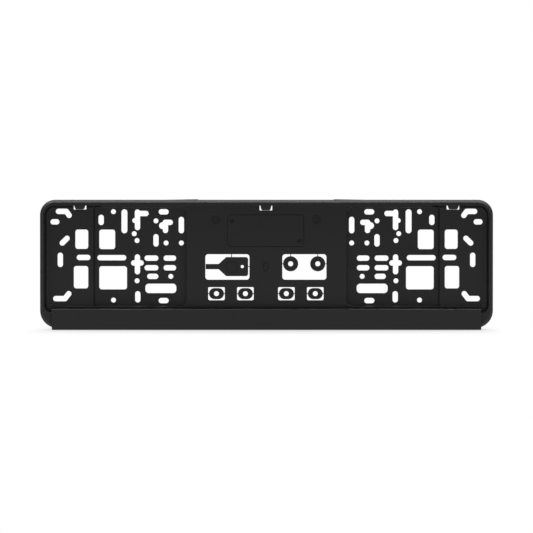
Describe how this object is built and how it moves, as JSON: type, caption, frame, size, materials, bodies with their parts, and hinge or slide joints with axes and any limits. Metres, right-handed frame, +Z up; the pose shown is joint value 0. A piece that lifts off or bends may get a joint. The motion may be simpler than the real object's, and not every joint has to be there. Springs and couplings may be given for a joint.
{
  "type": "number plate holder",
  "caption": "Moulded black holder for a one-line number plate, with a bevelled rim, snap hooks, a wide lower bar and slotted screw panels.",
  "frame": {"origin": "on the back mounting plane, behind the middle of the plate", "axes": "+X to the right as seen from the front, +Y towards the vehicle, +Z up; the front faces -Y"},
  "size_m": [0.5158, 0.012, 0.1488],
  "materials": {
    "black_plastic": "matte, fine moulded grain"
  },
  "bodies": {
    "root": {"plate_holder": "black_plastic"}
  },
  "joints": []
}
